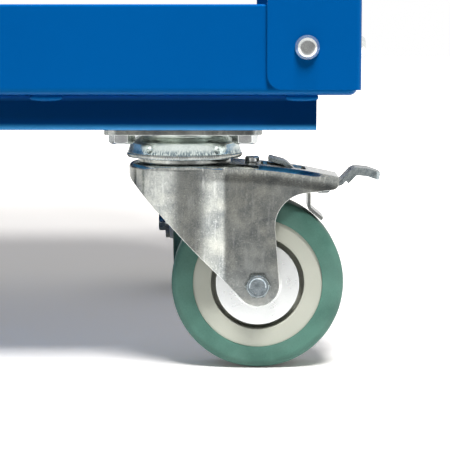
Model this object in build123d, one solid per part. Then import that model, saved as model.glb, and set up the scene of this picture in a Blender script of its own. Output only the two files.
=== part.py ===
from build123d import *
import os
from math import cos, radians, sin, tan

# Shelf trolley. Millimetres, +Z up, floor at z = 0, length along X with the handle end at +X.
# The origin is on the floor, under the middle of the whole trolley.

# Shelves: pressed pans with a hemmed rim
shelf_names = ("bottom_shelf", "middle_shelf", "top_shelf")
shelf_length = 800
shelf_width = 430
shelf_pitch = 320
rim_height = 50
shelf_sheet = 1.5
shelf_bend = 4
shelf_corner = 5
hem_height = 8

# Corner posts: folded angles bolted round the shelf corners
post_flange = 52
post_sheet = 2
post_bend = 3
post_corner = 8.5
post_lift = 3
bolt_from_end = 28
bolt_above_floor = 26.5

# Runners: channels under the bottom shelf, web outwards
runner_height = 20
runner_flange = 80
runner_sheet = 2.5
runner_bend = 4
runner_inset = 10
runner_end_gap = 22

# Push handle: one bent tube welded to two foot plates
handle_tube = 25
handle_wall = 2
handle_depth = 90
handle_run = 55
handle_foot_drop = 115
handle_grip_rise = 110
handle_bend = 45
foot_plate_width = 40
foot_plate_height = 84
foot_plate_sheet = 4
foot_bolt_pitch = 60

# Castors
wheel_diameter = 100
tyre_width = 32
tyre_wall = 12.5
swivel_offset = 42.5
crown_gap = 20
head_height = 20
plate_length = 90
plate_width = 70
plate_sheet = 3
plate_corner = 8
plate_holes_x = 70
plate_holes_y = 50
plate_setback = 4
castor_from_end = 97
right_castor_turn = -90

# Swivel head
neck_radius = 26.2
skirt_radius = 33.2
skirt_gap = 2.8
neck_height = 2
shoulder_in = 1.8
shoulder_drop = 5.2
skirt_lip = 2.7
head_sheet = 2.5
king_pin_radius = 6
king_pin_play = 2
ball_diameter = 6
ball_pitch_radius = 21
race_lip_radius = 26.8
race_lip_height = 2.2
ball_count = 10
dimple_count = 5
dimple_radius = 3
dimple_depth = 0.8

# Fork
fork_sheet = 3
leg_spread = 46
crown_radius = 32.5
crown_blend = 10
fork_bend = 3.5
leg_end_radius = 12.5
leg_lean = 4.5
slant = 47
nose_radius = 8
crook_radius = 19
arm_reach = 46.6
arm_drop = 8
arm_depth = 7
arm_taper = 4
arm_rise = 6
arm_tip_radius = 4
bracket_flare = 1.06

# Wheel
tyre_shoulder = 5
rim_recess = 1
rim_wall = 10.5
rim_groove_depth = 8
guard_gap = 2.9
guard_sheet = 1.5
hub_radius = 10.5
sleeve_radius = 8
axle_radius = 4

# Brake
lever_width = 20
lever_sheet = 2.5
lever_window = 23
window_from_axle = 1
window_length = 27
tongue_from_axle = 6.5
tongue_rise = 1.8
tongue_bend = 8
brake_pin_radius = 2.5
pin_from_axle = 23
pin_drop = 9.5
pedal_knee_drop = 12.8
pedal_reach = 24.5
pedal_rise = 8.6
pedal_fall = 3.2
pedal_bend = 5
pedal_crown = 10
pedal_rim = 4.6
pedal_corner = 3
cheek_lobe = 3
cheek_corner = 1
shoe_width = 24
shoe_sheet = 2
shoe_gap = 1.45
shoe_angle = 50
shoe_length = 10.2
shoe_bend = 6
shoe_below_pin = 6.5
rivet_radius = 2.5
rivet_head_radius = 4.3
rivet_before_axle = 3

# Fasteners
shelf_bolt_radius = 3
shelf_bolt_head = 6.75
shelf_bolt_head_height = 4.2
shelf_nut_flats = 10
shelf_nut_height = 5
m8_radius = 4
m8_flats = 13
m8_head_height = 5.3
m8_nut_height = 6.5
thread_end = 2

# Clearances
hole_clearance = 0.35
running_clearance = 0.05
moving_gap = 0.3

# Heights and places that follow from the sizes above
wheel_radius = wheel_diameter / 2
rim_radius = wheel_radius - tyre_wall
crown_z = wheel_diameter + crown_gap
castor_height = crown_z + head_height
plate_z = castor_height - plate_sheet
bottom_shelf_z = castor_height + runner_height
shelf_levels = [bottom_shelf_z + shelf_pitch * step for step in range(len(shelf_names))]
post_bottom_z = bottom_shelf_z + post_lift
post_top_z = shelf_levels[-1] + rim_height
handle_foot_z = post_top_z - handle_foot_drop
handle_grip_z = post_top_z + handle_grip_rise
end_face = shelf_length / 2 + post_sheet
side_face = shelf_width / 2 + post_sheet
castor_x = shelf_length / 2 - castor_from_end
castor_y = shelf_width / 2 - runner_inset - plate_setback - plate_width / 2
leg_half = leg_spread / 2
leg_inner = leg_half - fork_sheet
axle = Vector(swivel_offset, wheel_radius)
groove_outer = rim_radius - rim_wall
guard_radius = groove_outer - guard_gap
tip_x = swivel_offset + arm_reach
front_reach = end_face + shelf_bolt_head_height
rear_reach = end_face + handle_depth + handle_tube / 2
frame_x = (front_reach - rear_reach) / 2


# Shape helpers

def along(angle):
    return Vector(cos(radians(angle)), sin(radians(angle)))


def crossing(point, angle, other, other_angle):
    # Where the line through point at angle meets the line through other at other_angle.
    ahead = along(angle)
    across = along(other_angle + 90)
    return point + ahead * ((other - point).dot(across) / ahead.dot(across))


def bent_edges(corners, closed):
    # Straight runs between corners, each a (point, radius) rounded by a tangent arc.
    stops = []
    for index, (point, radius) in enumerate(corners):
        here = Vector(point)
        if radius == 0:
            stops.append((here, None, here))
            continue
        back = (Vector(corners[index - 1][0]) - here).normalized()
        ahead = (Vector(corners[(index + 1) % len(corners)][0]) - here).normalized()
        half = radians(back.get_angle(ahead) / 2)
        inward = (back + ahead).normalized()
        reach = radius / tan(half)
        depth = radius / sin(half) - radius
        stops.append((here + back * reach, here + inward * depth, here + ahead * reach))
    edges = []
    for index, (start, middle, end) in enumerate(stops):
        if middle is not None:
            edges.append(ThreePointArc(start, middle, end))
        if closed or index + 1 < len(stops):
            following = stops[(index + 1) % len(stops)][0]
            if (following - end).length > 1e-6:
                edges.append(Line(end, following))
    return edges


def rounded(*corners):
    return make_face(bent_edges(corners, True))


def ribbon(corners, sheet, lower=None):
    # A bent strip of even thickness: corners give the middle of the sheet, and lower its right-hand reach if that differs.
    upper = sheet / 2
    lower = upper if lower is None else lower
    sides = ([], [])
    for index, (point, radius) in enumerate(corners):
        here = Vector(point)
        before = Vector(corners[max(index - 1, 0)][0])
        after = Vector(corners[min(index + 1, len(corners) - 1)][0])
        first = ((here - before) if index > 0 else (after - here)).normalized()
        second = ((after - here) if index + 1 < len(corners) else (here - before)).normalized()
        left = Vector(-first.Y, first.X)
        turned = Vector(-second.Y, second.X)
        mitre = (left + turned) * (1 / (1 + left.dot(turned)))
        swing = 1 if first.cross(second).Z > 0 else -1
        sides[0].append((here + mitre * upper, radius - swing * upper if radius else 0))
        sides[1].append((here - mitre * lower, radius + swing * lower if radius else 0))
    return rounded(*sides[0], *reversed(sides[1]))


def across_y(face, width):
    # A side view drawn in X and Z, given its width evenly about Y = 0.
    return extrude(Plane.XZ * face, width / 2, both=True)


def spun(face):
    # A half section drawn as radius and height, turned about Z.
    return revolve(Plane.XZ * face, Axis.Z)


def drill(radius, length):
    return Cylinder(radius, length)


def on_y_axis(part):
    return Rot(-90, 0, 0) * part


# Fasteners, each along +Z with the underside of its head at z = 0 and its shank below

def hexagon(flats, height):
    return extrude(RegularPolygon(flats / 2, 6, major_radius=False), height)


def chamfered_hexagon(flats, height):
    corner = flats / 2 / cos(radians(30))
    turned = rounded(((0, 0), 0), ((corner, 0), 0), ((corner, height * 0.8), 0),
                     ((flats * 0.47, height), 0), ((0, height), 0))
    return hexagon(flats, height) & spun(turned)


def hex_bolt(radius, flats, head_height, length):
    shank = Pos(0, 0, -length / 2) * Cylinder(radius, length)
    return chamfered_hexagon(flats, head_height) + shank


def nut(radius, flats, height):
    return hexagon(flats, height) - Pos(0, 0, height / 2) * drill(radius, height)


def dome_bolt(length):
    rim = shelf_bolt_head_height * 0.3
    head = rounded(((0, -length), 0), ((shelf_bolt_radius, -length), 0), ((shelf_bolt_radius, 0), 0),
                   ((shelf_bolt_head, 0), 0), ((shelf_bolt_head, rim), 0),
                   ((shelf_bolt_head * 0.7, shelf_bolt_head_height), shelf_bolt_head_height * 0.6),
                   ((0, shelf_bolt_head_height), 0))
    return spun(head)


# Shelves, posts, runners and handle

def corner_signs():
    return [(sx, sy) for sx in (-1, 1) for sy in (-1, 1)]


def shelf_bolt_places(level):
    # One bolt through each flange of each post: (place on the post's outer face, turn to point out).
    places = []
    for sx, sy in corner_signs():
        z = level + bolt_above_floor
        places.append(Pos(sx * (shelf_length / 2 - bolt_from_end), sy * side_face, z) * Rot(-sy * 90, 0, 0))
        places.append(Pos(sx * end_face, sy * (shelf_width / 2 - bolt_from_end), z) * Rot(0, sx * 90, 0))
    return places


def pan(inset, height):
    outline = RectangleRounded(shelf_length - 2 * inset, shelf_width - 2 * inset, shelf_corner - inset)
    block = extrude(outline, height)
    return fillet(block.faces().sort_by(Axis.Z)[0].edges(), shelf_bend - inset)


def shelf(level):
    hem = extrude(RectangleRounded(shelf_length, shelf_width, shelf_corner), hem_height)
    hem -= extrude(RectangleRounded(shelf_length - 4 * shelf_sheet, shelf_width - 4 * shelf_sheet,
                                    shelf_corner - 2 * shelf_sheet), hem_height)
    tray = pan(0, rim_height) - Pos(0, 0, shelf_sheet) * pan(shelf_sheet, rim_height)
    tray += Pos(0, 0, rim_height - hem_height) * hem
    tray = fillet(tray.faces().sort_by(Axis.Z)[-1].edges(), shelf_sheet * 0.9)
    tray = Pos(0, 0, level) * tray
    hole = drill(shelf_bolt_radius + hole_clearance, 6 * (post_sheet + shelf_sheet))
    return tray - [place * hole for place in shelf_bolt_places(level)]


def post(sx, sy):
    half = post_sheet / 2
    section = ribbon([((-post_flange, -half), 0), ((-half, -half), post_bend - half),
                      ((-half, -post_flange), 0)], post_sheet)
    angle = extrude(section, post_top_z - post_bottom_z)
    angle = fillet(angle.edges().filter_by(Axis.Y).group_by(Axis.X)[0], post_corner)
    angle = fillet(angle.edges().filter_by(Axis.X).group_by(Axis.Y)[0], post_corner)
    if sx < 0:
        angle = mirror(angle, Plane.YZ)
    if sy < 0:
        angle = mirror(angle, Plane.XZ)
    angle = Pos(sx * end_face, sy * side_face, post_bottom_z) * angle
    hole = drill(shelf_bolt_radius + hole_clearance, 6 * (post_sheet + shelf_sheet))
    for level in shelf_levels:
        angle -= [place * hole for place in shelf_bolt_places(level)]
    if sx > 0:
        bolt_hole = Rot(0, 90, 0) * drill(m8_radius + hole_clearance, 6 * foot_plate_sheet)
        angle -= [Pos(end_face, sy * handle_y, z) * bolt_hole for z in foot_bolt_heights]
    return angle


def runner(sy):
    half = runner_sheet / 2
    bend = runner_bend - half
    section = ribbon([((-runner_flange, runner_height - half), 0), ((-half, runner_height - half), bend),
                      ((-half, half), bend), ((-runner_flange, half), 0)], runner_sheet)
    length = shelf_length - 2 * runner_end_gap
    channel = Pos(-length / 2, 0, 0) * extrude(Plane.YZ * section, length)
    if sy < 0:
        channel = mirror(channel, Plane.XZ)
    channel = Pos(0, sy * (shelf_width / 2 - runner_inset), castor_height) * channel
    hole = drill(m8_radius + hole_clearance, 4 * runner_sheet)
    holes = [Pos(sx * castor_x + x, sy * castor_y + y, castor_height) * hole
             for sx in (-1, 1) for x, y in plate_hole_places]
    return channel - holes


def push_handle():
    foot_x = end_face + foot_plate_sheet
    grip_x = end_face + handle_depth
    route = [((foot_x, -handle_y, handle_foot_z), 0),
             ((end_face + handle_run, -handle_y, handle_foot_z), handle_bend),
             ((grip_x, -handle_y, handle_grip_z), handle_bend),
             ((grip_x, handle_y, handle_grip_z), handle_bend),
             ((end_face + handle_run, handle_y, handle_foot_z), handle_bend),
             ((foot_x, handle_y, handle_foot_z), 0)]
    path = Wire(bent_edges(route, False))
    start = Plane(origin=path @ 0, z_dir=path % 0)
    tube = sweep(start * Circle(handle_tube / 2), path) - sweep(start * Circle(handle_tube / 2 - handle_wall), path)
    outline = RectangleRounded(foot_plate_height, foot_plate_width, foot_plate_width / 6)
    plate = extrude(outline, foot_plate_sheet)
    plate -= [Pos(x, 0, 0) * drill(m8_radius + hole_clearance, 4 * foot_plate_sheet)
              for x in (-foot_bolt_pitch / 2, foot_bolt_pitch / 2)]
    for sy in (-1, 1):
        tube += Pos(end_face, sy * handle_y, handle_foot_z) * Rot(0, 90, 0) * plate
    return tube


# Castor pieces, each with the swivel axis (or the plate's middle) at X = Y = 0 and the floor at z = 0

def fork_plan(inset):
    # Round crown blending into two straight legs, which close in a little towards the arm's tip.
    half = leg_half - inset
    taper_x = swivel_offset + leg_end_radius + fork_sheet
    end_x = tip_x + fork_bend
    end_half = half - arm_taper * (end_x - taper_x) / (tip_x - taper_x)
    side = [((0, -half), 0), ((taper_x, -half), crook_radius), ((end_x, -end_half), 0)]
    legs = rounded(*side, *[((x, -y), radius) for (x, y), radius in reversed(side)])
    outline = Circle(crown_radius - inset) + legs
    return fillet(outline.vertices().sort_by(Axis.X)[:2], crown_blend + inset)


def arm_curve():
    # The arm's top falls away in one long arc: (where it starts, its radius).
    start_x = swivel_offset - 2 * leg_end_radius
    run = tip_x - start_x
    return start_x, (run * run + arm_drop * arm_drop) / (2 * arm_drop)


def arm_top(x):
    start_x, radius = arm_curve()
    along_arc = max(x - start_x, 0)
    return crown_z - radius + (radius * radius - along_arc * along_arc) ** 0.5


def fork_block(inset, bend):
    start_x, radius = arm_curve()
    end_x = tip_x + 2 * fork_bend
    front_x = -2 * crown_radius
    top = crown_z - inset
    swing = radius - inset
    end_top = top - swing + (swing ** 2 - (end_x - start_x) ** 2) ** 0.5
    edges = [Line((front_x, 0), (front_x, top)), Line((front_x, top), (start_x, top)),
             TangentArc((start_x, top), (end_x, end_top), tangent=(1, 0)),
             Line((end_x, end_top), (end_x, 0)), Line((end_x, 0), (front_x, 0))]
    block = extrude(fork_plan(inset), castor_height) & across_y(make_face(edges), 4 * crown_radius)
    lowest = crown_z - 3 * arm_drop
    rim = [edge for edge in block.edges()
           if edge.center().Z > lowest and edge.bounding_box().size.X > 0.5]
    return fillet(rim, bend)


def fork_side():
    slant_point = axle + along(270 - slant) * leg_end_radius
    rear_point = axle + along(leg_lean) * leg_end_radius
    front = Vector(-crown_radius - moving_gap, 0)
    tip = Vector(tip_x, crown_z - arm_drop - arm_depth)
    nose = crossing(slant_point, 180 - slant, front, 90)
    heel = crossing(slant_point, 180 - slant, rear_point, 90 + leg_lean)
    crook = crossing(rear_point, 90 + leg_lean, tip, arm_rise)
    return rounded(((front.X, castor_height), 0), (nose, nose_radius), (heel, leg_end_radius),
                   (crook, crook_radius), (tip, arm_tip_radius), ((tip_x, castor_height), 0))


def fork():
    shell = fork_block(0, fork_bend) - fork_block(fork_sheet, fork_bend - fork_sheet)
    shell &= across_y(fork_side(), 4 * crown_radius)
    lip = Circle(race_lip_radius) - Circle(race_lip_radius - head_sheet)
    shell += Pos(0, 0, crown_z) * extrude(lip, race_lip_height)
    shell -= Pos(0, 0, crown_z) * drill(king_pin_radius + king_pin_play, 4 * fork_sheet)
    shell -= Pos(swivel_offset, 0, wheel_radius) * on_y_axis(drill(axle_radius + hole_clearance, 2 * leg_spread))
    shell -= Pos(rivet_x, 0, crown_z) * drill(rivet_radius + hole_clearance, 6 * fork_sheet)
    window = RectangleRounded(window_end - window_start, lever_window, fork_sheet)
    middle = (window_start + window_end) / 2
    return shell - Pos(middle, 0, crown_z - 3 * fork_bend) * extrude(window, 4 * fork_bend)


def top_plate():
    plate = extrude(RectangleRounded(plate_length, plate_width, plate_corner), plate_sheet)
    plate -= [Pos(x, y, 0) * drill(m8_radius + hole_clearance, 4 * plate_sheet) for x, y in plate_hole_places]
    return Pos(0, 0, plate_z) * plate


def swivel_plate():
    return top_plate() - king_pin_form(hole_clearance)


def king_pin_form(grow):
    # A rivet: countersunk flush in the plate, peened over under the lower race.
    radius = king_pin_radius + grow
    head = king_pin_radius + plate_sheet + grow
    return spun(rounded(((0, king_head_z), 0), ((king_pin_radius * 1.7, king_head_z), head_sheet / 2),
                        ((king_pin_radius * 1.7, lower_race_z), 0), ((radius, lower_race_z), 0),
                        ((radius, plate_z), 0), ((head, castor_height), 0), ((0, castor_height), 0)))


def lower_race():
    # A dished washer that the fork's crown turns on from below.
    bore = king_pin_radius + hole_clearance
    seat = crown_z - fork_sheet - moving_gap
    rim = bore + 4 * head_sheet
    return spun(rounded(((bore, lower_race_z), 0), ((rim - head_sheet, lower_race_z), head_sheet),
                        ((rim + head_sheet, seat), 0), ((rim - head_sheet, seat), 0),
                        ((rim - 2 * head_sheet, lower_race_z + head_sheet), 0),
                        ((bore, lower_race_z + head_sheet), 0)))


def swivel_housing():
    # The skirt over the ball race: it flares out under the plate to a steep band with pressed dimples.
    lip_z = crown_z + skirt_gap
    cone_z = lip_z + skirt_lip
    race_z = crown_z + ball_diameter + moving_gap
    bore = king_pin_radius + hole_clearance
    inner = ball_pitch_radius - ball_diameter * 0.75
    shoulder_radius = skirt_radius - shoulder_in
    shoulder_z = plate_z - shoulder_drop
    skirt = spun(rounded(((bore, plate_z), 0), ((neck_radius, plate_z), 0),
                         ((neck_radius, plate_z - neck_height), head_sheet),
                         ((shoulder_radius, shoulder_z), head_sheet), ((skirt_radius, cone_z), head_sheet / 2),
                         ((skirt_radius, lip_z), 0), ((skirt_radius - head_sheet, lip_z), 0),
                         ((skirt_radius - head_sheet, race_z), 0), ((inner, race_z), 0),
                         ((inner, plate_z - head_sheet), 0), ((bore, plate_z - head_sheet), 0)))
    dimple_z = (shoulder_z + cone_z) / 2
    dimple_out = (shoulder_radius + skirt_radius) / 2 + dimple_radius - dimple_depth
    dimple = Pos(0, -dimple_out, dimple_z) * Sphere(dimple_radius)
    turns = [360 / dimple_count * (step + 0.5) for step in range(dimple_count)]
    return skirt - [Rot(0, 0, turn) * dimple for turn in turns]


def swivel_balls():
    ball = Pos(ball_pitch_radius, 0, crown_z + ball_diameter / 2) * Sphere(ball_diameter / 2)
    return [Rot(0, 0, 360 / ball_count * step) * ball for step in range(ball_count)]


def about_axle(part, x):
    # A wheel piece, turned about Z, laid on its axle.
    return Pos(x, 0, wheel_radius) * on_y_axis(part)


def tyre(x):
    half = tyre_width / 2
    section = rounded(((rim_radius, -half), 0), ((wheel_radius, -half), tyre_shoulder),
                      ((wheel_radius, half), tyre_shoulder), ((rim_radius, half), 0))
    return about_axle(spun(section), x)


def wheel_rim(x):
    face = tyre_width / 2 - rim_recess
    hub = leg_inner - guard_sheet - 2 * moving_gap
    groove = face - rim_groove_depth
    bore = sleeve_radius + running_clearance
    web = guard_seat - 2 * moving_gap
    groove_inner = guard_radius - guard_sheet
    side = [((bore, hub), 0), ((hub_radius, hub), 0), ((hub_radius, web), 0), ((groove_inner, web), 0),
            ((groove_inner, groove), 0), ((groove_outer, groove), 0), ((groove_outer, face), rim_recess / 2),
            ((rim_radius, face), 0)]
    return about_axle(spun(rounded(*side, *[((r, -y), radius) for (r, y), radius in reversed(side)])), x)


def thread_guards(x):
    # A dished disc each side, clamped between the axle sleeve and the fork leg.
    boss = hub_radius + guard_sheet
    section = ribbon([((axle_radius + hole_clearance, leg_inner - guard_sheet / 2), 0),
                      ((boss, leg_inner - guard_sheet / 2), 0),
                      ((boss + guard_sheet, guard_seat + guard_sheet / 2), 0),
                      ((guard_radius, guard_seat + guard_sheet / 2), 0)], guard_sheet)
    disc = spun(section)
    return [about_axle(disc, x), about_axle(mirror(disc, Plane.XY), x)]


def axle_sleeve(x):
    length = 2 * (leg_inner - guard_sheet)
    tube = Cylinder(sleeve_radius, length) - drill(axle_radius + hole_clearance, length)
    return about_axle(tube, x)


def axle_bolt(x):
    length = leg_spread + m8_nut_height + thread_end
    bolt = hex_bolt(axle_radius, m8_flats, m8_head_height, length)
    return Pos(x, -leg_half, wheel_radius) * Rot(90, 0, 0) * bolt


def axle_nut(x):
    return Pos(x, leg_half, wheel_radius) * Rot(-90, 0, 0) * nut(axle_radius, m8_flats, m8_nut_height)


def brake_lever():
    # A rocking pedal: release tongue through the arm's window, channel on the pin, foot tread outside.
    knee = Vector(tip_x + lever_sheet / 2, crown_z - pedal_knee_drop)
    start = Vector(tongue_x, crown_z + tongue_rise)
    dip = Vector((window_start + window_end) / 2 + fork_sheet / 2, crown_z - lever_sheet / 4)
    saddle = Vector(pin.X + brake_pin_radius / 2, pin.Y + brake_pin_radius / 2)
    rise = Vector(knee.X + pedal_reach / 3, knee.Y + pedal_rise)
    crest = Vector(knee.X + pedal_reach * 2 / 3, knee.Y + pedal_rise - pedal_fall / 4)
    end = Vector(tip_x + pedal_reach, knee.Y + pedal_rise - pedal_fall)
    tread = [(knee, lever_sheet), (rise, pedal_bend), (crest, pedal_crown), (end, 0)]
    strip = ribbon([(start, 0), (dip, tongue_bend), (saddle, pedal_bend), *tread], lever_sheet)
    lever = across_y(strip, lever_width)
    rim = ribbon([(knee + (rise - knee) * 0.3, 0), *tread[1:]], lever_sheet, pedal_rim - lever_sheet / 2)
    lever += across_y(rim, lever_width) - across_y(rim, lever_width - 2 * lever_sheet)
    half = lever_width / 2
    plan = rounded(((0, -half), 0), ((end.X, -half), pedal_corner), ((end.X, half), pedal_corner), ((0, half), 0))
    lever &= extrude(plan, castor_height)
    lobe_x = tip_x - arm_tip_radius
    lobe_z = crown_z - arm_drop - arm_depth - cheek_lobe
    eye = 1.6 * brake_pin_radius
    cheek = rounded(((pin.X - eye, pin.Y + eye / 2), cheek_corner), ((pin.X - eye, pin.Y - eye), eye * 0.9),
                    ((lobe_x - 3 * eye, pin.Y - eye), cheek_corner), ((lobe_x - 2 * eye, lobe_z), cheek_lobe),
                    ((lobe_x, lobe_z), cheek_lobe), ((lobe_x, knee.Y), 0))
    sheet = across_y(cheek, lever_width) - across_y(cheek, lever_width - 2 * lever_sheet)
    bore = Pos(pin.X, 0, pin.Y) * on_y_axis(drill(brake_pin_radius + running_clearance, 2 * lever_width))
    return lever + sheet - bore


def brake_pin():
    # Held between the arm's walls, so its ends take the walls' shape.
    rod = Pos(pin.X, 0, pin.Y) * on_y_axis(Cylinder(brake_pin_radius, leg_spread))
    return rod & fork_block(fork_sheet, fork_bend - fork_sheet)


def brake_shoe():
    # A spring strip held by the rivet under the arm; its foot follows the tread.
    foot = axle + along(shoe_angle) * (wheel_radius + shoe_gap + shoe_sheet / 2)
    slide = along(shoe_angle - 90) * (shoe_length / 2)
    bend = foot - slide
    run_z = pin.Y - shoe_below_pin
    heel = Vector(bend.X, run_z - shoe_sheet / 4)
    strip = ribbon([((rivet_x - 2 * rivet_radius, strip_z), 0), ((rivet_x + 3 * rivet_radius, strip_z), shoe_bend),
                    ((pin.X - 2 * brake_pin_radius, run_z), shoe_bend), (heel, shoe_sheet * 1.25),
                    (bend, shoe_sheet * 1.25), (foot + slide, 0)], shoe_sheet)
    hole = Pos(rivet_x, 0, strip_z) * drill(rivet_radius + hole_clearance, 4 * shoe_sheet)
    return across_y(strip, shoe_width) - hole


def brake_rivet():
    seat = arm_top(rivet_x - rivet_head_radius)
    peen = strip_z - shoe_sheet / 2 - moving_gap
    head = rivet_head_radius
    return Pos(rivet_x, 0, 0) * spun(rounded(
        ((0, peen - rivet_radius), 0), ((rivet_radius, peen - rivet_radius), 0), ((head, peen), 0),
        ((rivet_radius, peen), 0), ((rivet_radius, seat), 0), ((head, seat), 0),
        ((head, seat + rivet_radius), 0), ((head * 0.85, seat + rivet_radius * 1.25), 0),
        ((0, seat + rivet_radius * 1.25), 0)))


def fixed_bracket():
    # Fixed castor: a pressed fork welded under its own plate.
    top_half = plate_holes_x / 2 - m8_flats
    foot_half = leg_end_radius * bracket_flare
    foot_z = wheel_radius - leg_end_radius
    side = rounded(((-top_half, plate_z), 0), ((-foot_half, foot_z), leg_end_radius),
                   ((foot_half, foot_z), leg_end_radius), ((top_half, plate_z), 0))
    half = fork_sheet / 2
    reach = leg_half - half
    section = ribbon([((-reach, 0), 0), ((-reach, plate_z - half), fork_bend - half),
                      ((reach, plate_z - half), fork_bend - half), ((reach, 0), 0)], fork_sheet)
    yoke = extrude(Plane.YZ * section, plate_length, both=True) & across_y(side, 2 * leg_spread)
    yoke -= about_axle(drill(axle_radius + hole_clearance, 2 * leg_spread), 0)
    return top_plate() + yoke


# Places that several castor pieces share
plate_hole_places = [(x * plate_holes_x / 2, y * plate_holes_y / 2) for x, y in corner_signs()]
guard_seat = tyre_width / 2 - guard_sheet
king_head_z = crown_z - fork_sheet - moving_gap - 4 * head_sheet
lower_race_z = king_head_z + head_sheet
rivet_x = swivel_offset - rivet_before_axle
window_start = swivel_offset + window_from_axle
window_end = window_start + window_length
tongue_x = swivel_offset + tongue_from_axle
pin = Vector(swivel_offset + pin_from_axle, crown_z - pin_drop)
strip_z = arm_top(rivet_x + 3 * rivet_radius) - fork_sheet - moving_gap - shoe_sheet / 2
handle_y = side_face - post_flange / 2
foot_bolt_heights = [handle_foot_z + step * foot_bolt_pitch / 2 for step in (-1, 1)]

swivel_pieces = {
    "top_plate": swivel_plate,
    "swivel_housing": swivel_housing,
    "lower_race": lower_race,
    "swivel_balls": swivel_balls,
    "fork": fork,
    "thread_guards": lambda: thread_guards(swivel_offset),
    "axle_sleeve": lambda: axle_sleeve(swivel_offset),
    "axle_bolt": lambda: axle_bolt(swivel_offset),
    "axle_nut": lambda: axle_nut(swivel_offset),
    "wheel_rim": lambda: wheel_rim(swivel_offset),
    "tyre": lambda: tyre(swivel_offset),
    "brake_lever": brake_lever,
    "brake_pin": brake_pin,
    "brake_shoe": brake_shoe,
    "brake_rivet": brake_rivet,
}

plate_pieces = ("top_plate", "swivel_housing")

fixed_pieces = {
    "bracket": fixed_bracket,
    "thread_guards": lambda: thread_guards(0),
    "axle_sleeve": lambda: axle_sleeve(0),
    "wheel_rim": lambda: wheel_rim(0),
    "tyre": lambda: tyre(0),
}


def castor_corners(pieces, sx):
    # The same castor at both sides of one end of the trolley; the right swivel castor stands turned inwards.
    end = "rear" if sx > 0 else "front"
    nodes = {}
    for piece, make in pieces.items():
        made = make()
        solids = made if isinstance(made, list) else [made]
        for side, sy in (("left", -1), ("right", 1)):
            turn = right_castor_turn if sx > 0 and sy > 0 and piece not in plate_pieces else 0
            place = Pos(sx * castor_x, sy * castor_y, 0) * Rot(0, 0, turn)
            nodes[f"{end}_{side}_{piece}"] = [place * solid for solid in solids]
    return nodes


def fastener_nodes():
    shelf_places = [place for level in shelf_levels for place in shelf_bolt_places(level)]
    inside = Pos(0, 0, -post_sheet - shelf_sheet - shelf_nut_height)
    shelf_bolt = dome_bolt(post_sheet + shelf_sheet + shelf_nut_height + thread_end)
    shelf_nut = inside * nut(shelf_bolt_radius, shelf_nut_flats, shelf_nut_height)
    castor_places = [Pos(sx * castor_x + x, sy * castor_y + y, plate_z) * Rot(180, 0, 0)
                     for sx, sy in corner_signs() for x, y in plate_hole_places]
    castor_grip = plate_sheet + runner_sheet
    castor_bolt = hex_bolt(m8_radius, m8_flats, m8_head_height, castor_grip + m8_nut_height + thread_end)
    m8_nut = nut(m8_radius, m8_flats, m8_nut_height)
    castor_nut = Pos(0, 0, -castor_grip - m8_nut_height) * m8_nut
    foot_places = [Pos(end_face + foot_plate_sheet, sy * handle_y, z) * Rot(0, 90, 0)
                   for sy in (-1, 1) for z in foot_bolt_heights]
    foot_grip = foot_plate_sheet + post_sheet
    foot_bolt = hex_bolt(m8_radius, m8_flats, m8_head_height, foot_grip + m8_nut_height + thread_end)
    foot_nut = Pos(0, 0, -foot_grip - m8_nut_height) * m8_nut
    swivel_places = [Pos(castor_x, sy * castor_y, 0) for sy in (-1, 1)]
    fixed_places = [Pos(-castor_x, sy * castor_y, 0) for sy in (-1, 1)]
    groups = {
        "shelf_bolts": (shelf_places, shelf_bolt), "shelf_nuts": (shelf_places, shelf_nut),
        "castor_bolts": (castor_places, castor_bolt), "castor_nuts": (castor_places, castor_nut),
        "handle_bolts": (foot_places, foot_bolt), "handle_nuts": (foot_places, foot_nut),
        "king_pins": (swivel_places, king_pin_form(0)),
        "front_axle_bolts": (fixed_places, axle_bolt(0)), "front_axle_nuts": (fixed_places, axle_nut(0)),
    }
    return {name: [place * shape for place in places] for name, (places, shape) in groups.items()}


def trolley():
    nodes = {name: [shelf(level)] for name, level in zip(shelf_names, shelf_levels)}
    for end, sx in (("front", -1), ("rear", 1)):
        for side, sy in (("left", -1), ("right", 1)):
            nodes[f"{end}_{side}_post"] = [post(sx, sy)]
    nodes["left_runner"] = [runner(-1)]
    nodes["right_runner"] = [runner(1)]
    nodes["push_handle"] = [push_handle()]
    nodes.update(fastener_nodes())
    nodes.update(castor_corners(swivel_pieces, 1))
    nodes.update(castor_corners(fixed_pieces, -1))
    return nodes


os.makedirs("parts", exist_ok=True)
for name, shapes in trolley().items():
    solids = [solid for shape in shapes for solid in shape.solids()]
    placed = [Pos(frame_x, 0, 0) * solid for solid in solids]
    export_step(placed[0] if len(placed) == 1 else Compound(placed), f"parts/{name}.step")
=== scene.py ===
from math import pi, radians

import bmesh
import bpy
import numpy as np
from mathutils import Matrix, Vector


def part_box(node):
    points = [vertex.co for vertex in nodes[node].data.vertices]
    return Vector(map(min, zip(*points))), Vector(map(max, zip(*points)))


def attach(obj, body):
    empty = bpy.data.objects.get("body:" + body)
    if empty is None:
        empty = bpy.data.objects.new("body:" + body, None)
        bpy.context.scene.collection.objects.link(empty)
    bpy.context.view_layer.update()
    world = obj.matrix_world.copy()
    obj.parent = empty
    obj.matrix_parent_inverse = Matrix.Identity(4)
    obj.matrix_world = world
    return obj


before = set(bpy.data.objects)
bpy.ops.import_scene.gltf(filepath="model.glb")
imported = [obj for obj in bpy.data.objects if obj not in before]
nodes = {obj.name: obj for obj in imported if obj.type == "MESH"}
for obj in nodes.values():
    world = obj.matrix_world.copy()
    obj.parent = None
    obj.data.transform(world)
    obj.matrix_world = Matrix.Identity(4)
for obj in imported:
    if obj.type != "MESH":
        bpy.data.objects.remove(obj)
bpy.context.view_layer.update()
scene = bpy.context.scene
mm = 0.001


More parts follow.
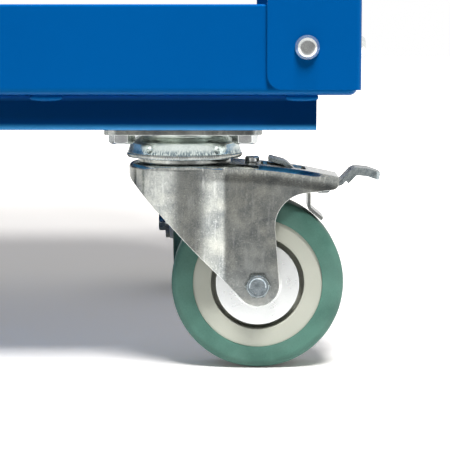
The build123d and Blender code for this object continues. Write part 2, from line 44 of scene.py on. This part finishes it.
# Shader sums: a wrapped socket takes the ordinary operators, and each adds one Math node.
class Value:
    def __init__(self, finish, socket):
        self.finish = finish
        self.socket = socket

    def maths(self, operation, first, second):
        return self.finish.add("ShaderNodeMath", {"operation": operation}, {0: first, 1: second})

    def __add__(self, other):
        return self.maths("ADD", self, other)

    def __radd__(self, other):
        return self.maths("ADD", other, self)

    def __sub__(self, other):
        return self.maths("SUBTRACT", self, other)

    def __rsub__(self, other):
        return self.maths("SUBTRACT", other, self)

    def __mul__(self, other):
        return self.maths("MULTIPLY", self, other)

    def __rmul__(self, other):
        return self.maths("MULTIPLY", other, self)

    def __pow__(self, other):
        return self.maths("POWER", self, other)

    def __or__(self, other):
        return self.maths("MAXIMUM", self, other)

    def __ror__(self, other):
        return self.maths("MAXIMUM", other, self)


# One material or world: its node tree and the one method that adds nodes to it.
class Finish:
    def __init__(self, holder):
        holder.use_nodes = True
        self.holder = holder
        self.tree = holder.node_tree
        self.tree.nodes.clear()

    def add(self, kind, settings=None, inputs=None, output=0):
        node = self.tree.nodes.new(kind)
        for key, value in (settings or {}).items():
            if key == "stops":
                while len(node.color_ramp.elements) < len(value):
                    node.color_ramp.elements.new(1)
                for element, (place, shade) in zip(node.color_ramp.elements, value):
                    element.position = place
                    element.color = (shade, shade, shade, 1)
            else:
                setattr(node, key, value)
        for key, value in (inputs or {}).items():
            if isinstance(value, Value):
                self.tree.links.new(value.socket, node.inputs[key])
            else:
                node.inputs[key].default_value = value
        return Value(self, node.outputs[output]) if len(node.outputs) else node

    def spot(self):
        return self.add("ShaderNodeTexCoord", output="Object")

    def part(self, vector, axis):
        return self.add("ShaderNodeSeparateXYZ", inputs={"Vector": vector}, output=axis)

    def place(self, stretch):
        return self.add("ShaderNodeMapping", inputs={"Vector": self.spot(), "Scale": stretch})

    def vector(self, operation, first, second=(0, 0, 0), output=0):
        return self.add("ShaderNodeVectorMath", {"operation": operation}, {0: first, 1: second}, output)

    def ease(self, value, low, high):
        # 0 below low, 1 above high, with a smooth rise between
        return self.add("ShaderNodeMapRange", {"interpolation_type": "SMOOTHSTEP"}, {
            "Value": value, "From Min": low, "From Max": high})

    def noise(self, size, detail=2, stretch=(1, 1, 1)):
        # soft cloud from 0 to 1 whose lumps are about size metres across
        return self.add("ShaderNodeTexNoise", inputs={
            "Vector": self.place(stretch), "Scale": 1 / size, "Detail": detail})

    def steps(self, value, *stops):
        return self.add("ShaderNodeValToRGB", {"stops": stops}, {"Fac": value})

    def mix(self, factor, first, second):
        first, second = ((*tone, 1) if isinstance(tone, tuple) else tone for tone in (first, second))
        return self.add("ShaderNodeMix", {"data_type": "RGBA"}, {0: factor, 6: first, 7: second}, 2)

    def bump(self, height, edge=0):
        # height in metres; edge rounds sharp corners by that radius
        inputs = {"Height": height, "Distance": 1.0, "Strength": 1.0}
        if edge:
            inputs["Normal"] = self.add("ShaderNodeBevel", {"samples": 6}, {"Radius": edge})
        return self.add("ShaderNodeBump", inputs=inputs)

    def crevices(self, reach):
        # 1 deep in narrow gaps: what the open sky can't reach within that distance
        return 1 - self.add("ShaderNodeAmbientOcclusion", {"samples": 8}, {"Distance": reach}, "AO")

    def edges(self, radius):
        # 1 along sharp corners: how far the rounded normal leans from the face's own
        rounded = self.add("ShaderNodeBevel", {"samples": 6}, {"Radius": radius})
        flat = self.add("ShaderNodeNewGeometry", output="Normal")
        lean = 1 - self.vector("DOT_PRODUCT", rounded, flat, "Value")
        return self.steps(lean, (0.0, 0), (0.02, 0), (0.20, 1))

    def surface(self, inputs):
        shader = self.add("ShaderNodeBsdfPrincipled", inputs=inputs)
        self.add("ShaderNodeOutputMaterial", inputs={"Surface": shader})
        return self.holder


def newFinish(name):
    return Finish(bpy.data.materials.new(name))


# Finishes
powderCoat = {
    "deep": (0.0, 0.100, 0.37), "clear": (0.0, 0.122, 0.44),
    "cloudSize": 120 * mm, "speckSize": 9 * mm, "speckShare": 0.2, "peelSize": 1.3 * mm, "peelDepth": 0.012 * mm,
    "roughness": 0.20, "peelRough": 0.06, "speckRough": 0.04, "edge": 0.5 * mm,
    "gloss": 0.5, "sheen": (0.04, 0.60, 1.0, 1),
}
# a runner's painted shade on its web and painted highlight on its top and bottom bends, and how tall the highlit
# bends are
runnerShadeAndHighlight = {"web": (0.0, 0.024, 0.14), "bend": (0.06, 0.42, 0.95), "highlightBendHeight": 4 * mm}


def makePowderCoat(name, runner=None):
    # even colour with faint clouds, and the orange peel of baked powder; a runner's has painted shade
    # on its web and painted highlight on the bends above and below it
    coat = newFinish(name)
    peel = coat.noise(powderCoat["peelSize"], 1)
    speck = coat.noise(powderCoat["speckSize"], 4)
    if runner:
        low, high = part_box(runner)
        level = coat.part(coat.spot(), "Z")
        bend = runnerShadeAndHighlight["highlightBendHeight"]
        # painted shade on the web, turning to painted highlight within the bend height at the top and the bottom
        web = coat.ease(level, low.z, low.z + bend) * coat.ease(high.z - level, 0, bend)
        colour = coat.mix(web, runnerShadeAndHighlight["bend"], runnerShadeAndHighlight["web"])
    else:
        cloud = coat.noise(powderCoat["cloudSize"], 3)
        share = powderCoat["speckShare"]
        colour = coat.mix(cloud * (1 - share) + speck * share, powderCoat["deep"], powderCoat["clear"])
    return coat.surface({
        "Base Color": colour,
        "Roughness": powderCoat["roughness"] + powderCoat["peelRough"] * peel + powderCoat["speckRough"] * speck,
        "Normal": coat.bump(peel * powderCoat["peelDepth"], powderCoat["edge"]),
        "Specular IOR Level": powderCoat["gloss"],
        "Specular Tint": powderCoat["sheen"],
    })


boltHead = {
    "dish": 4.3 * mm, "dishRim": 5.0 * mm, "dishDepth": 0.30 * mm, "chamferFrom": 5.9 * mm, "chamferSlope": 0.58,
}


def headHeight(zinc, middle, across):
    # a hexagon head's pressed dish and turned chamfer, by the distance from the bolt's axis
    away = zinc.vector("MULTIPLY", zinc.vector("SUBTRACT", zinc.spot(), middle), across)
    radius = zinc.vector("LENGTH", away, output="Value")
    dish = zinc.ease(radius, boltHead["dish"], boltHead["dishRim"])
    return dish * boltHead["dishDepth"] - (0 | radius - boltHead["chamferFrom"]) * boltHead["chamferSlope"]


shoulder = {
    "depth": 11 * mm, "lean": 0.24, "bend": 3.5 * mm, "top": 120 * mm,
    "archStart": 17.5 * mm, "archRadius": 324.4 * mm, "armStart": (6 * mm, 26 * mm),
}


def shoulderHeight(zinc, axis, along):
    # the fork's sides lean in below its top edge: minus lean times the square of the height above the
    # shoulder's foot, over twice its reach, growing in along the arm; the top is flat up to archStart and
    # then falls on an arc
    spot = zinc.spot()
    reach = zinc.vector("DOT_PRODUCT", zinc.vector("SUBTRACT", spot, axis), along, "Value")
    run = 0 | reach - shoulder["archStart"]
    fall = shoulder["archRadius"] - (shoulder["archRadius"] ** 2 - run * run) ** 0.5
    above = 0 | zinc.part(spot, "Z") + fall + (shoulder["depth"] - shoulder["top"])
    arm = zinc.ease(reach, *shoulder["armStart"])
    return arm * above * above * (-0.5 * shoulder["lean"] / (shoulder["depth"] - shoulder["bend"]))


zincPattern = {
    "grainShare": 0.38, "tintSize": 31 * mm, "mottle": ((0.0, 0), (0.34, 0), (0.66, 1)),
    "fleckSize": 1.6 * mm, "fleck": ((0.0, 0), (0.60, 0), (0.72, 1)),
    "scratchSize": 2.2 * mm, "scratch": ((0.0, 0), (0.56, 0), (0.70, 1)), "scratchHeight": 0.3, "scratchPolish": 0.4,
    "topFacing": (0.2, 0.8), "paintedShadeLeast": 0.55, "stroke": ((0.0, 0.2), (0.40, 0.2), (0.54, 1)),
}


def makeZinc(name, look, shape=None):
    # plated sheet: broad tarnish clouds, fine grain, pale specks, short drawn scratches, and edges paled partly by
    # wear and partly as painted highlight
    zinc = newFinish(name)
    pattern = zincPattern
    cloud = zinc.noise(look["cloudSize"], 3)
    grain = zinc.noise(look["grainSize"], 4)
    fleck = zinc.steps(zinc.noise(pattern["fleckSize"], 2), *pattern["fleck"])
    scratch = zinc.steps(zinc.noise(pattern["scratchSize"], 3, look["drawn"]), *pattern["scratch"])
    share = pattern["grainShare"]
    shade = zinc.steps(cloud * (1 - share) + grain * share, *pattern["mottle"])
    tint = zinc.mix(zinc.noise(pattern["tintSize"], 2), look["cool"], look["warm"])
    colour = zinc.mix(shade, look["dark"], tint)
    # paler along sharp edges: partly rubbed wear, partly a painted highlight
    edgeWearAndHighlight = zinc.edges(look["edge"]) * look["edgeWearAndHighlight"]
    colour = zinc.mix(fleck * look["fleck"] + scratch * look["scratch"] | edgeWearAndHighlight, colour, look["pale"])
    if "paintedShade" in look:
        # painted shade: the faces that look up are darkened, mottled like the tarnish, for the dark they mirror
        facing = zinc.part(zinc.add("ShaderNodeNewGeometry", output="Normal"), "Z")
        least = pattern["paintedShadeLeast"]
        topShade = zinc.ease(facing, *pattern["topFacing"]) * (least + (1 - least) * shade)
        colour = zinc.mix(topShade, colour, look["paintedShade"])
    if "band" in look:
        # upright dark strokes low on the swivel head
        stroke = zinc.steps(zinc.noise(look["strokeSize"], 2, look["strokeDrawn"]), *pattern["stroke"])
        band = 1 - zinc.ease(zinc.part(zinc.spot(), "Z"), *look["band"])
        colour = zinc.mix(band * stroke, colour, look["bandShade"])
    proud = pattern["scratchHeight"]
    height = (grain * (1 - proud) + scratch * proud) * look["depth"] + cloud * look["dent"]
    if shape:
        height = height + shape[0](zinc, *shape[1:])
    polish = pattern["scratchPolish"] * look["scratch"]
    return zinc.surface({
        "Base Color": colour,
        "Metallic": look["metallic"],
        "Roughness": look["roughness"] + look["spread"] * cloud - polish * scratch,
        "Normal": zinc.bump(height, look["edge"]),
    })


forkZinc = {
    "dark": (0.20, 0.215, 0.215), "cool": (0.43, 0.46, 0.46), "warm": (0.58, 0.56, 0.46), "pale": (0.86, 0.87, 0.83),
    "cloudSize": 9 * mm, "grainSize": 0.8 * mm, "drawn": (1, 1, 0.12), "fleck": 0.22, "scratch": 0.24, "edgeWearAndHighlight": 0.8,
    "metallic": 0.95, "roughness": 0.12, "spread": 0.10, "depth": 0.012 * mm, "dent": 0.11 * mm, "edge": 0.6 * mm,
}
brightZinc = {
    "dark": (0.66, 0.73, 0.70), "cool": (0.82, 0.91, 0.89), "warm": (0.90, 0.95, 0.86), "pale": (0.95, 0.97, 0.93),
    "cloudSize": 8 * mm, "grainSize": 0.9 * mm, "drawn": (1, 1, 0.3), "fleck": 0.2, "scratch": 0.2, "edgeWearAndHighlight": 0.6,
    "metallic": 0.9, "roughness": 0.14, "spread": 0.14, "depth": 0.012 * mm, "dent": 0.04 * mm, "edge": 0.4 * mm,
}
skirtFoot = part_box("rear_left_swivel_housing")[0].z
headZinc = {
    **brightZinc, "band": (skirtFoot + 3.5 * mm, skirtFoot + 6.5 * mm), "bandShade": (0.26, 0.33, 0.35),
    "strokeSize": 0.65 * mm, "strokeDrawn": (1, 1, 0.08),
}
guardZinc = {
    "dark": (0.82, 0.83, 0.81), "cool": (0.86, 0.88, 0.87), "warm": (0.90, 0.90, 0.86), "pale": (0.95, 0.96, 0.94),
    "cloudSize": 10 * mm, "grainSize": 0.9 * mm, "drawn": (1, 1, 1), "fleck": 0.0, "scratch": 0.03, "edgeWearAndHighlight": 0.6,
    "metallic": 0.75, "roughness": 0.24, "spread": 0.10, "depth": 0.0005 * mm, "dent": 0.01 * mm, "edge": 0.4 * mm,
}
fastenerZinc = {
    "dark": (0.62, 0.64, 0.64), "cool": (0.86, 0.90, 0.92), "warm": (0.92, 0.91, 0.82), "pale": (0.96, 0.97, 0.95),
    "cloudSize": 5 * mm, "grainSize": 0.7 * mm, "drawn": (1, 1, 1), "fleck": 0.2, "scratch": 0.15, "edgeWearAndHighlight": 0.8,
    "metallic": 0.95, "roughness": 0.16, "spread": 0.14, "depth": 0.01 * mm, "dent": 0.02 * mm, "edge": 0.5 * mm,
}
axleZinc = {
    "dark": (0.17, 0.20, 0.22), "cool": (0.42, 0.50, 0.54), "warm": (0.50, 0.52, 0.50), "pale": (0.94, 0.95, 0.93),
    "cloudSize": 4 * mm, "grainSize": 0.7 * mm, "drawn": (1, 1, 1), "fleck": 0.3, "scratch": 0.2, "edgeWearAndHighlight": 0.8,
    "metallic": 0.95, "roughness": 0.08, "spread": 0.12, "depth": 0.01 * mm, "dent": 0.09 * mm, "edge": 0.5 * mm,
}
brakeSteel = {
    "dark": (0.20, 0.24, 0.26), "cool": (0.48, 0.58, 0.63), "warm": (0.60, 0.60, 0.52), "pale": (0.90, 0.91, 0.88),
    # the colour of the painted shade on the faces that look up
    "paintedShade": (0.09, 0.11, 0.12),
    "cloudSize": 5 * mm, "grainSize": 0.9 * mm, "drawn": (1, 0.3, 1), "fleck": 0.30, "scratch": 0.20, "edgeWearAndHighlight": 0.45,
    "metallic": 0.92, "roughness": 0.18, "spread": 0.2, "depth": 0.02 * mm, "dent": 0.05 * mm, "edge": 0.4 * mm,
}
hardSteel = {
    "dark": (0.30, 0.30, 0.31), "cool": (0.55, 0.57, 0.60), "warm": (0.58, 0.57, 0.54), "pale": (0.80, 0.80, 0.80),
    "cloudSize": 8 * mm, "grainSize": 0.8 * mm, "drawn": (1, 1, 1), "fleck": 0.1, "scratch": 0.2, "edgeWearAndHighlight": 0.5,
    "metallic": 1.0, "roughness": 0.16, "spread": 0.1, "depth": 0.01 * mm, "dent": 0.0, "edge": 0.3 * mm,
}
tyreRubber = {
    "dark": (0.070, 0.172, 0.135), "light": (0.110, 0.256, 0.200), "bloom": (0.20, 0.36, 0.30),
    "marbleSize": 16 * mm, "grainShare": 0.25, "mottle": ((0.0, 0), (0.36, 0), (0.64, 1)),
    "bloomSize": 38 * mm, "bloomStops": ((0.0, 0), (0.50, 0), (0.78, 1)), "bloomShare": 0.4,
    "roughness": 0.46, "grainRough": 0.16, "marbleRough": 0.08, "gloss": 0.4,
    "grainSize": 0.9 * mm, "grainDepth": 0.06 * mm, "edge": 0.6 * mm,
}
rimPlastic = {
    "shade": (0.54, 0.55, 0.46), "light": (0.69, 0.70, 0.60), "cloudSize": 22 * mm, "grainShare": 0.2,
    "roughness": 0.42, "grainRough": 0.14, "grainSize": 0.8 * mm, "grainDepth": 0.04 * mm, "edge": 0.4 * mm,
    # painted shade in gaps: its colour, how far the open sky is sought, and its steps
    "paintedShade": (0.02, 0.02, 0.018), "paintedShadeReach": 6 * mm, "paintedShadeStops": ((0.0, 0), (0.45, 0), (0.85, 1)),
}


def makeTyreRubber():
    # marbled rubber with a paler bloom in patches and a fine moulded grain
    look = tyreRubber
    rubber = newFinish("greenGreyRubber")
    marble = rubber.noise(look["marbleSize"], 5)
    grain = rubber.noise(look["grainSize"], 3)
    bloom = rubber.steps(rubber.noise(look["bloomSize"], 4), *look["bloomStops"])
    share = look["grainShare"]
    shade = rubber.steps(marble * (1 - share) + grain * share, *look["mottle"])
    colour = rubber.mix(shade, look["dark"], look["light"])
    return rubber.surface({
        "Base Color": rubber.mix(bloom * look["bloomShare"], colour, look["bloom"]),
        "Roughness": look["roughness"] + look["grainRough"] * grain + look["marbleRough"] * marble,
        "Normal": rubber.bump(grain * look["grainDepth"], look["edge"]),
        "Specular IOR Level": look["gloss"],
    })


def makeRimPlastic():
    # pale moulded plastic, a little cloudy, with a fine spark-eroded grain and painted shade in its gaps and grooves
    look = rimPlastic
    plastic = newFinish("lightGreyPlastic")
    cloud = plastic.noise(look["cloudSize"], 4)
    grain = plastic.noise(look["grainSize"], 2)
    share = look["grainShare"]
    pale = plastic.mix(cloud * (1 - share) + grain * share, look["shade"], look["light"])
    # painted shade: darker where the open sky can't be reached, deep in gaps and grooves
    paintedShade = plastic.steps(plastic.crevices(look["paintedShadeReach"]), *look["paintedShadeStops"])
    return plastic.surface({
        "Base Color": plastic.mix(paintedShade, pale, look["paintedShade"]),
        "Roughness": look["roughness"] + look["grainRough"] * grain,
        "Normal": plastic.bump(grain * look["grainDepth"], look["edge"]),
    })


finishes = {
    "blue": makePowderCoat("bluePowderCoat"), "runnerShadedBlue": makePowderCoat("runnerShadedPowderCoat", "left_runner"),
    "fork": makeZinc("forkZinc", forkZinc), "head": makeZinc("headZinc", headZinc),
    "guard": makeZinc("guardZinc", guardZinc), "fastener": makeZinc("fastenerZinc", fastenerZinc),
    "brake": makeZinc("brakeSteel", brakeSteel), "hard": makeZinc("hardSteel", hardSteel),
    "rubber": makeTyreRubber(), "plastic": makeRimPlastic(),
}
finishOfNode = {
    "shelf": "blue", "post": "blue", "runner": "runnerShadedBlue", "push_handle": "blue",
    "fork": "fork", "bracket": "fork", "top_plate": "fork", "swivel_housing": "head", "thread_guards": "guard",
    "lower_race": "hard", "swivel_balls": "hard", "axle_sleeve": "hard", "wheel_rim": "plastic", "tyre": "rubber",
    "brake_lever": "brake", "brake_shoe": "fork", "brake_pin": "fastener", "brake_rivet": "fastener",
    "bolt": "fastener", "bolts": "fastener", "nut": "fastener", "nuts": "fastener", "king_pins": "fastener",
}
# the directions that lie across each axle bolt, and the way each rear fork's arm points
acrossBolt = {"rear_left_axle_bolt": (1, 0, 1), "front_axle_bolts": (1, 0, 1), "rear_right_axle_bolt": (0, 1, 1)}
armWay = {"left": (1, 0, 0), "right": (0, -1, 0)}


def middleOf(name):
    low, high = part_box(name)
    return tuple((low + high) / 2)


# the axle bolts and rear forks carry relief about their own axes, so each has a finish of its own
for bolt, across in acrossBolt.items():
    finishes[bolt] = makeZinc("axleHead_" + bolt, axleZinc, (headHeight, middleOf(bolt), across))
    finishOfNode[bolt] = bolt
for side, along in armWay.items():
    fork, axis = "rear_%s_fork" % side, middleOf("rear_%s_swivel_housing" % side)
    finishes[fork] = makeZinc(fork + "_zinc", forkZinc, (shoulderHeight, axis, along))
    finishOfNode[fork] = fork


def wear(piece, finish):
    piece.data.materials.clear()
    piece.data.materials.append(finishes[finish])


for name, node in nodes.items():
    ending = max((end for end in finishOfNode if name.endswith(end)), key=len)
    wear(node, finishOfNode[ending])
print("finishes: %d on %d nodes" % (len(finishes), len(nodes)))


# New pieces: grids of points joined into quads.
def gridPiece(name, points, body, finish, wrapRings=False):
    # points[piece, ring, step]: each ring is a closed loop of steps, joined to the next ring;
    # the last ring joins the first when wrapRings is set, and otherwise the end rings are capped
    index = np.arange(points[..., 0].size).reshape(points.shape[:3])
    onward = np.roll(index, -1, axis=2)
    last = None if wrapRings else -1
    following = np.roll(index, -1, axis=1)
    followingOnward = np.roll(onward, -1, axis=1)
    quads = np.stack((index, onward, followingOnward, following), axis=-1)[:, :last].reshape(-1, 4)
    faces = quads.tolist()
    if not wrapRings:
        faces += index[:, 0].tolist() + index[:, -1].tolist()
    mesh = bpy.data.meshes.new(name)
    mesh.from_pydata(points.reshape(-1, 3).tolist(), [], faces)
    shape = bmesh.new()
    shape.from_mesh(mesh)
    bmesh.ops.recalc_face_normals(shape, faces=shape.faces[:])
    shape.to_mesh(mesh)
    shape.free()
    mesh.shade_smooth()
    piece = bpy.data.objects.new(name, mesh)
    scene.collection.objects.link(piece)
    wear(piece, finish)
    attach(piece, body)
    return piece


stitchWeld = {
    "length": 16.5 * mm, "radius": 2.3 * mm, "pitch": 143 * mm, "perEnd": 3,
    "ripple": 0.03, "ripplePitch": 2.4 * mm, "inFromFace": 0.9 * mm, "below": 1.5 * mm,
    "end": 0.998, "runOut": 0.4, "rings": 61, "steps": 20,
}


def stitchWelds(side, outward):
    # Beads in the notch between runner and shelf. Along each bead u runs from -1 to 1 and the radius is
    # the bead's radius times the fourth root of 1 - u^2, swollen by a cosine ripple.
    look = stitchWeld
    low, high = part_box(side + "_runner")
    starts = np.arange(look["perEnd"]) * look["pitch"]
    centres = np.concatenate((low.x + look["length"] / 2 + starts, high.x - look["length"] / 2 - starts))
    u = np.linspace(-look["end"], look["end"], look["rings"])
    turn = np.linspace(0, 2 * pi, look["steps"], endpoint=False)
    along = u * (look["length"] / 2 + look["radius"] * look["runOut"])
    ripple = 1 + look["ripple"] * np.cos(2 * pi * along / look["ripplePitch"])
    radius = look["radius"] * (1 - u ** 2) ** 0.25 * ripple
    face = high.y if outward > 0 else low.y
    x = np.broadcast_to(centres[:, None, None] + along[None, :, None], (len(centres), len(u), len(turn)))
    y = np.broadcast_to(face - outward * look["inFromFace"] + radius[None, :, None] * np.cos(turn), x.shape)
    z = np.broadcast_to(high.z - look["below"] + radius[None, :, None] * np.sin(turn), x.shape)
    return gridPiece(side + "StitchWelds", np.stack((x, y, z), axis=-1), "frame", "blue")


crimp = {
    "teeth": 150, "stepsPerTooth": 8, "height": 2.3 * mm, "depth": 0.40 * mm, "proud": 0.05 * mm, "inside": 0.6 * mm,
    "lift": 0.25 * mm,
}


def skirtCrimp(side):
    # The ring pressed in low on the skirt: radius = skirt + proud + depth * half of (1 + cosine of teeth * angle),
    # carried round a six-cornered section whose inner side is sunk in the skirt.
    look = crimp
    low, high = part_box("rear_%s_swivel_housing" % side)
    centre = (low + high) / 2
    angle = np.linspace(0, 2 * pi, look["teeth"] * look["stepsPerTooth"], endpoint=False)
    tooth = look["proud"] + look["depth"] * (1 + np.cos(look["teeth"] * angle)) / 2
    skirt = (high.x - low.x) / 2
    out = np.array([-look["inside"], 0.0, 1.0, 1.0, 0.0, -look["inside"]])
    up = np.array([0.0, 0.0, 0.25, 0.75, 1.0, 1.0])
    proud = np.where(out[:, None] > 0, tooth[None, :], out[:, None])
    radius = skirt + proud
    x = centre.x + radius * np.cos(angle)
    y = centre.y + radius * np.sin(angle)
    z = np.broadcast_to(low.z + look["lift"] + look["height"] * up[:, None], x.shape)
    points = np.stack((x, y, z), axis=-1)[None]
    return gridPiece(side + "SkirtCrimp", points, "frame", "fork", True)


footWeld = {
    "radius": 2.6 * mm, "ripple": 0.10, "ripples": 34, "rings": 136, "steps": 14, "out": 0.6 * mm,
    "tubeRadius": 12.5 * mm, "headOut": 5.3 * mm, "headHalfFlats": 6.5 * mm,
}


def footWelds():
    # A rippled ring of weld where the handle's tube meets each foot plate: a circle of radius
    # times (1 + ripple * cosine) carried round the tube, which stands midway between the plate's bolts.
    look = footWeld
    boltLow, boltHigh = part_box("handle_bolts")
    plateFace = boltHigh.x - look["headOut"]
    centreZ = (boltLow.z + boltHigh.z) / 2
    halfHead = look["headHalfFlats"] / np.cos(radians(30))
    centres = np.array([boltLow.y + halfHead, boltHigh.y - halfHead])
    angle = np.linspace(0, 2 * pi, look["rings"], endpoint=False)
    turn = np.linspace(0, 2 * pi, look["steps"], endpoint=False)
    bead = look["radius"] * (1 + look["ripple"] * np.cos(look["ripples"] * angle))
    reach = look["tubeRadius"] + look["out"] + bead[:, None] * np.cos(turn)
    shape = (2, len(angle), len(turn))
    x = np.broadcast_to(plateFace + look["out"] + bead[:, None] * np.sin(turn), shape)
    y = centres[:, None, None] + reach * np.cos(angle)[:, None]
    z = np.broadcast_to(centreZ + reach * np.sin(angle)[:, None], shape)
    return gridPiece("handleFootWelds", np.stack((x, y, z), axis=-1), "frame", "blue", True)


for side, outward in (("left", -1), ("right", 1)):
    stitchWelds(side, outward)
    skirtCrimp(side)
footWelds()
print("new pieces: stitch welds, skirt crimps, foot welds")


# Floor, light and camera
studio = {
    "floorHalf": 9.0, "floorLevel": -0.0002, "floorSquares": 8,
    "floorDim": 0.20, "floorNear": 0.45, "floorMirrored": 1.10, "floorSeen": 0.95, "floorGlow": 0.25,
    "floorTint": (0.0, 0.03, 0.06), "contactReach": 0.09, "contactDark": 0.75,
    "nearTo": 0.40, "farFrom": 0.75, "farTo": 1.60, "ambient": 0.03, "backFill": 0.60, "sideFill": 0.45,
    "frontDark": 0.76, "frontPower": 5, "frontEdge": (0.02, 0.80), "frontTop": (0.16, 0.42),
    "frontWay": (0.16, -0.987, 0.0), "eyePoint": (0.28, -0.20, 0.12),
    "overhead": {"place": (0.50, -0.62, 4.0), "aim": (0.20, 0.0, 0.0), "size": 0.5, "power": 94},
    "front": {"place": (0.72, -1.48, 2.92), "aim": (0.28, -0.18, 0.08), "size": 0.9, "power": 127},
}
cameraSetup = {
    "place": (0.28283, -1.13165, 0.19893), "tiltDown": 6.898, "turnLeft": 0.321,
    "lens": 132.6, "sensor": 36, "clipStart": 0.01,
}


def frontShade(finish, way):
    # mirror rays meet a dark spot low in front of the trolley, as of a camera and its stand: one less
    # frontDark times a soft step of the cosine of the way to the front, to a power, fading out above
    ahead = finish.vector("DOT_PRODUCT", way, studio["frontWay"], "Value")
    above = finish.ease(finish.part(way, "Z"), *studio["frontTop"])
    spot = finish.ease((0 | ahead) ** studio["frontPower"] * (1 - above), *studio["frontEdge"])
    return 1 - studio["frontDark"] * spot


def makeFloor():
    half = studio["floorHalf"]
    along = np.linspace(-half, half, studio["floorSquares"] + 1)
    x, y = np.meshgrid(along, along)
    points = np.stack((x, y, np.full_like(x, studio["floorLevel"])), axis=-1)
    index = np.arange(x.size).reshape(x.shape)
    corners = (index[:-1, :-1], index[:-1, 1:], index[1:, 1:], index[1:, :-1])
    quads = np.stack(corners, axis=-1).reshape(-1, 4)
    mesh = bpy.data.meshes.new("studioFloor")
    mesh.from_pydata(points.reshape(-1, 3).tolist(), [], quads.tolist())
    floor = bpy.data.objects.new("studioFloor", mesh)
    scene.collection.objects.link(floor)
    card = newFinish("paleFloor")
    seen = card.add("ShaderNodeLightPath", output="Is Camera Ray")
    scattered = card.add("ShaderNodeLightPath", output="Diffuse Depth")
    mirrored = card.add("ShaderNodeLightPath", output="Is Glossy Ray") * (1 - scattered | 0)
    away = card.vector("SUBTRACT", card.spot(), studio["eyePoint"])
    way = card.vector("NORMALIZE", away)
    distance = card.vector("LENGTH", away, output="Value")
    far = card.ease(distance, studio["farFrom"], studio["farTo"])
    near = 1 - card.ease(distance, studio["eyePoint"][2], studio["nearTo"])
    # what the floor throws back differs by ray: scattered light, the camera's own view, and metal's mirror
    dim = studio["floorDim"] + studio["floorNear"] * near
    mirror = studio["floorMirrored"] * frontShade(card, way)
    shade = dim + (studio["floorSeen"] - dim) * seen + (mirror - dim) * mirrored
    # painted contact shadow: the floor's glow is dimmed where parts stand close above it
    paintedContactShadow = 1 - card.crevices(studio["contactReach"]) * studio["contactDark"]
    warm = card.vector("SUBTRACT", (1, 1, 1), card.vector("MULTIPLY", seen, studio["floorTint"]))
    matt = card.add("ShaderNodeBsdfDiffuse", inputs={"Color": card.vector("MULTIPLY", shade, warm)})
    glow = card.add("ShaderNodeEmission", inputs={
        "Color": warm, "Strength": seen * (studio["floorGlow"] * paintedContactShadow + far)})
    both = card.add("ShaderNodeAddShader", inputs={0: matt, 1: glow})
    card.add("ShaderNodeOutputMaterial", inputs={"Surface": both})
    mesh.materials.append(card.holder)


def makeWorld():
    sky = Finish(bpy.data.worlds.new("studioWorld"))
    path = {ray: sky.add("ShaderNodeLightPath", output=ray)
            for ray in ("Is Camera Ray", "Is Glossy Ray", "Is Transmission Ray", "Diffuse Depth")}
    # metal mirrors the white room; light that has been scattered already meets only the fill
    mirrored = path["Is Glossy Ray"] * (1 - path["Diffuse Depth"] | 0)
    seen = path["Is Camera Ray"] | mirrored | path["Is Transmission Ray"]
    way = sky.add("ShaderNodeTexCoord", output="Generated")
    room = 1 - mirrored * (1 - frontShade(sky, way))
    # the fill is stronger from behind and from the ends, so that the far sides aren't black
    behind = 0 | sky.part(way, "Y")
    aside = sky.part(way, "X")
    fill = studio["ambient"] + studio["backFill"] * behind + studio["sideFill"] * (aside * aside) ** 2
    strength = fill + (room - fill) * seen
    back = sky.add("ShaderNodeBackground", inputs={"Color": (1, 1, 1, 1), "Strength": strength})
    sky.add("ShaderNodeOutputWorld", inputs={"Surface": back})
    scene.world = sky.holder


def turnTo(place, aim):
    toward = np.array(aim) - np.array(place)
    flat = np.hypot(toward[0], toward[1])
    return (np.arctan2(flat, -toward[2]), 0, np.arctan2(-toward[0], toward[1]))


def makeLamp(name):
    look = studio[name]
    lamp = bpy.data.lights.new(name + "Lamp", "AREA")
    lamp.size = look["size"]
    lamp.energy = look["power"]
    holder = bpy.data.objects.new(name + "Lamp", lamp)
    holder.location = look["place"]
    holder.rotation_euler = turnTo(look["place"], look["aim"])
    holder.visible_glossy = False  # bright metal mirrors the room, not the lamps
    scene.collection.objects.link(holder)


def makeCamera():
    lens = bpy.data.cameras.new("photoCamera")
    lens.lens = cameraSetup["lens"]
    lens.sensor_width = cameraSetup["sensor"]
    lens.clip_start = cameraSetup["clipStart"]
    holder = bpy.data.objects.new("photoCamera", lens)
    holder.location = cameraSetup["place"]
    holder.rotation_euler = (radians(90 - cameraSetup["tiltDown"]), 0, radians(cameraSetup["turnLeft"]))
    scene.collection.objects.link(holder)
    scene.camera = holder


makeFloor()
makeWorld()
makeLamp("overhead")
makeLamp("front")
makeCamera()
scene.view_settings.view_transform = "Standard"
print("studio: floor, world, two lamps and camera")
